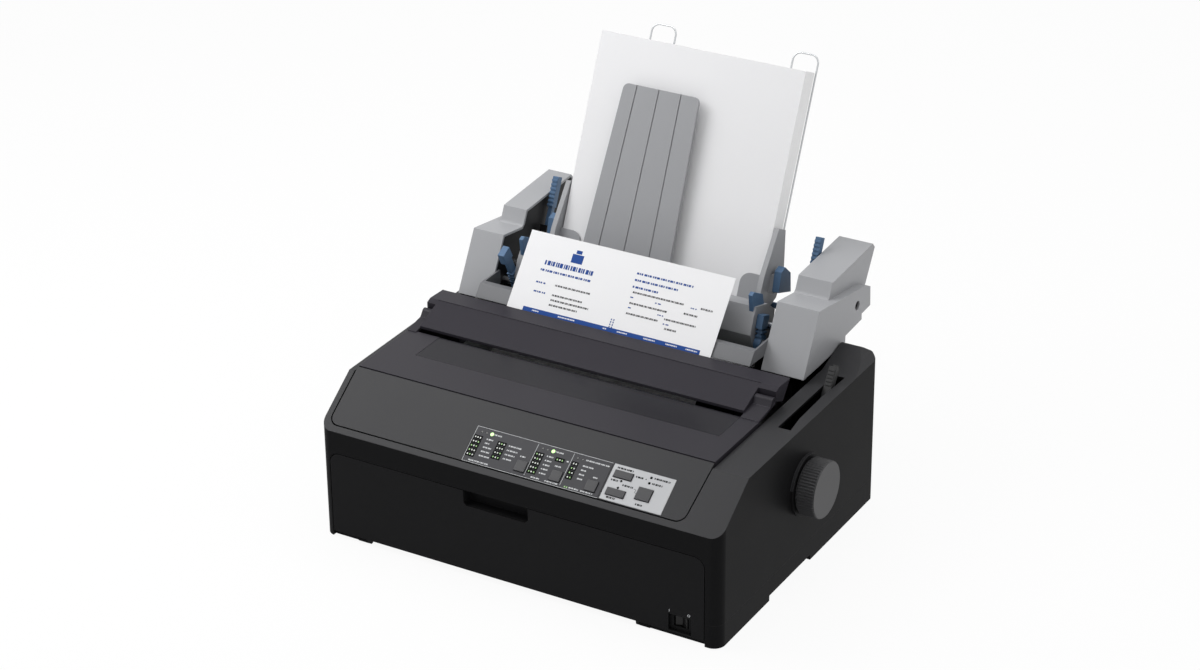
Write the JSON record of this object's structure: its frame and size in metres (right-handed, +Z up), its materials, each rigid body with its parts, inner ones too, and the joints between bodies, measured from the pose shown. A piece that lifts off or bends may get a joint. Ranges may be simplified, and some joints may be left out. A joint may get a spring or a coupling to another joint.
{
  "type": "dot matrix printer",
  "caption": "Desktop dot matrix printer with a hinged lid, a fold-down front door, a platen knob, a control panel and a rear cut-sheet feeder holding a stack of paper.",
  "frame": {"origin": "on the table under the middle foot, which is midway from front to rear and 1.5 mm to the right of the middle of the base", "axes": "+X to the right seen from the front, where the platen knob is; +Y to the rear, towards the paper; +Z up"},
  "size_m": [0.4331, 0.4118, 0.384],
  "materials": {
    "case": "fine satin texture",
    "panel": "satin",
    "overlay": "satin",
    "silver": "satin",
    "lid": "fine satin texture",
    "window": "smoked, clear",
    "black": "satin",
    "lamp": "clear tinted",
    "feeder": "satin",
    "feeder_dark": "satin",
    "guide": "satin",
    "lever": "satin",
    "grey_lever": "satin",
    "steel": "satin",
    "wire": "polished",
    "brass": "turned",
    "rubber": "matt",
    "nylon": "natural",
    "board": "solder mask",
    "paper": "uncoated white paper"
  },
  "bodies": {
    "printer": {"lower_case": "case", "rubber_feet": "rubber", "upper_case": "case", "front_panel": "panel", "control_overlay": "overlay", "key_overlay": "silver", "status_lamps": "lamp", "switch_housing": "black", "tension_unit": "lid", "drive_motors": "steel", "side_frame_left": "steel", "side_frame_right": "steel", "carriage_rail": "steel", "ribbon_cartridge": "black", "timing_belt": "rubber", "main_board": "board", "power_supply": "steel", "mains_inlet": "black", "interface_sockets": "steel", "feeder_cover_left": "feeder", "feeder_cover_right": "feeder", "feeder_frame": "feeder_dark", "front_beam": "feeder", "guide_shaft": "steel", "centre_support": "guide", "paper_stack": "paper", "printed_sheet": "paper"},
    "lid": {"lid_frame": "lid", "lid_window": "window"},
    "door": {"front_door": "case", "finger_pocket": "case"},
    "rocker": {"power_rocker": "black"},
    "platen": {"platen_roller": "rubber", "platen_knob": "case", "platen_gear": "nylon"},
    "pinion": {"motor_pinion": "brass"},
    "idler_a": {"idler_gear_a": "nylon"},
    "idler_b": {"idler_gear_b": "nylon"},
    "feed": {"feed_shaft": "steel", "feed_gear": "nylon"},
    "pick_left": {"pick_roller_left": "rubber"},
    "pick_right": {"pick_roller_right": "rubber"},
    "carriage": {"carriage": "black", "print_head": "steel"},
    "pulley_drive": {"drive_pulley": "nylon"},
    "pulley_idle": {"idler_pulley": "nylon"},
    "release": {"release_lever": "grey_lever"},
    "guide_left": {"sheet_guide_left": "guide"},
    "guide_right": {"sheet_guide_right": "guide"},
    "lock_left": {"lock_lever_left": "lever"},
    "lock_right": {"lock_lever_right": "lever"},
    "set": {"set_levers": "lever"},
    "wire_left": {"wire_support_left": "wire"},
    "wire_right": {"wire_support_right": "wire"},
    "small_key_1": {"small_key_1": "black"},
    "small_key_2": {"small_key_2": "black"},
    "small_key_3": {"small_key_3": "black"},
    "wide_key_upper": {"wide_key_upper": "silver"},
    "wide_key_lower": {"wide_key_lower": "silver"},
    "big_key": {"big_key": "silver"}
  },
  "joints": [
    {"name": "lid_hinge", "type": "hinge", "parent": "printer", "child": "lid", "pos_m": [0, 0.014, 0.157], "axis": [-1, 0, 0], "range_deg": [0, 100]},
    {"name": "door_hinge", "type": "hinge", "parent": "printer", "child": "door", "pos_m": [0, -0.148, 0.0033], "axis": [1, 0, 0], "range_deg": [0, 65]},
    {"name": "power_rocker_tilt", "type": "hinge", "parent": "printer", "child": "rocker", "pos_m": [0.1647, -0.1436, 0.016], "axis": [0, 0, 1], "range_deg": [0, 10]},
    {"name": "small_key_1_press", "type": "slide", "parent": "printer", "child": "small_key_1", "axis": [0, 0.5729, -0.8196], "range_m": [0, 0.0008], "stiffness_N_per_m": 500, "springref_m": -0.0006},
    {"name": "small_key_2_press", "type": "slide", "parent": "printer", "child": "small_key_2", "axis": [0, 0.5729, -0.8196], "range_m": [0, 0.0008], "stiffness_N_per_m": 500, "springref_m": -0.0006},
    {"name": "small_key_3_press", "type": "slide", "parent": "printer", "child": "small_key_3", "axis": [0, 0.5729, -0.8196], "range_m": [0, 0.0008], "stiffness_N_per_m": 500, "springref_m": -0.0006},
    {"name": "wide_key_upper_press", "type": "slide", "parent": "printer", "child": "wide_key_upper", "axis": [0, 0.5729, -0.8196], "range_m": [0, 0.0008], "stiffness_N_per_m": 500, "springref_m": -0.0006},
    {"name": "wide_key_lower_press", "type": "slide", "parent": "printer", "child": "wide_key_lower", "axis": [0, 0.5729, -0.8196], "range_m": [0, 0.0008], "stiffness_N_per_m": 500, "springref_m": -0.0006},
    {"name": "big_key_press", "type": "slide", "parent": "printer", "child": "big_key", "axis": [0, 0.5729, -0.8196], "range_m": [0, 0.0008], "stiffness_N_per_m": 500, "springref_m": -0.0006},
    {"name": "platen_spin", "type": "hinge", "parent": "printer", "child": "platen", "pos_m": [0, 0.007, 0.087], "axis": [1, 0, 0], "continuous": true},
    {"name": "motor_pinion_spin", "type": "hinge", "parent": "printer", "child": "pinion", "pos_m": [0, -0.00292, 0.05975], "axis": [1, 0, 0], "continuous": true},
    {"name": "idler_a_spin", "type": "hinge", "parent": "printer", "child": "idler_a", "pos_m": [0, 0.04799, 0.1], "axis": [1, 0, 0], "continuous": true},
    {"name": "idler_b_spin", "type": "hinge", "parent": "printer", "child": "idler_b", "pos_m": [0, 0.08995, 0.1253], "axis": [1, 0, 0], "continuous": true},
    {"name": "feed_spin", "type": "hinge", "parent": "printer", "child": "feed", "pos_m": [0, 0.122, 0.17], "axis": [1, 0, 0], "continuous": true},
    {"name": "guide_left_slide", "type": "slide", "parent": "printer", "child": "guide_left", "axis": [-1, 0, 0], "range_m": [0, 0.008]},
    {"name": "guide_right_slide", "type": "slide", "parent": "printer", "child": "guide_right", "axis": [1, 0, 0], "range_m": [0, 0.008]},
    {"name": "pick_roller_left_spin", "type": "hinge", "parent": "guide_left", "child": "pick_left", "pos_m": [-0.126, 0.122, 0.17], "axis": [1, 0, 0], "continuous": true},
    {"name": "pick_roller_right_spin", "type": "hinge", "parent": "guide_right", "child": "pick_right", "pos_m": [0.082, 0.122, 0.17], "axis": [1, 0, 0], "continuous": true},
    {"name": "lock_lever_left_turn", "type": "hinge", "parent": "guide_left", "child": "lock_left", "pos_m": [-0.152, 0.104, 0.16], "axis": [1, 0, 0], "range_deg": [-40, 0]},
    {"name": "lock_lever_right_turn", "type": "hinge", "parent": "guide_right", "child": "lock_right", "pos_m": [0.108, 0.104, 0.16], "axis": [1, 0, 0], "range_deg": [0, 40]},
    {"name": "set_lever_turn", "type": "hinge", "parent": "printer", "child": "set", "pos_m": [0, 0.168, 0.1665], "axis": [1, 0, 0], "range_deg": [-20, 0]},
    {"name": "carriage_slide", "type": "slide", "parent": "printer", "child": "carriage", "axis": [1, 0, 0], "range_m": [-0.025, 0.167]},
    {"name": "drive_pulley_spin", "type": "hinge", "parent": "printer", "child": "pulley_drive", "pos_m": [-0.15, -0.08, 0.065], "axis": [0, 0, 1], "range_deg": [-1250, 250]},
    {"name": "idler_pulley_spin", "type": "hinge", "parent": "printer", "child": "pulley_idle", "pos_m": [0.112, -0.08, 0.065], "axis": [0, 0, 1], "range_deg": [-1250, 250]},
    {"name": "release_lever_turn", "type": "hinge", "parent": "printer", "child": "release", "pos_m": [0.19, 0.04, 0.08], "axis": [1, 0, 0], "range_deg": [0, 60]},
    {"name": "wire_support_left_slide", "type": "slide", "parent": "printer", "child": "wire_left", "axis": [0, -0.4067, -0.9135], "range_m": [0, 0.06]},
    {"name": "wire_support_right_slide", "type": "slide", "parent": "printer", "child": "wire_right", "axis": [0, -0.4067, -0.9135], "range_m": [0, 0.06]}
  ],
  "couplings": [
    {"joint": "motor_pinion_spin", "follows": "platen_spin", "ratio": -3.1429},
    {"joint": "idler_a_spin", "follows": "platen_spin", "ratio": -1.0476},
    {"joint": "idler_b_spin", "follows": "platen_spin", "ratio": 0.78571},
    {"joint": "feed_spin", "follows": "platen_spin", "ratio": -0.81481},
    {"joint": "pick_roller_left_spin", "follows": "platen_spin", "ratio": -0.81481},
    {"joint": "pick_roller_right_spin", "follows": "platen_spin", "ratio": -0.81481},
    {"joint": "drive_pulley_spin", "follows": "carriage_slide", "rad_per_m": -125},
    {"joint": "idler_pulley_spin", "follows": "carriage_slide", "rad_per_m": -125}
  ]
}
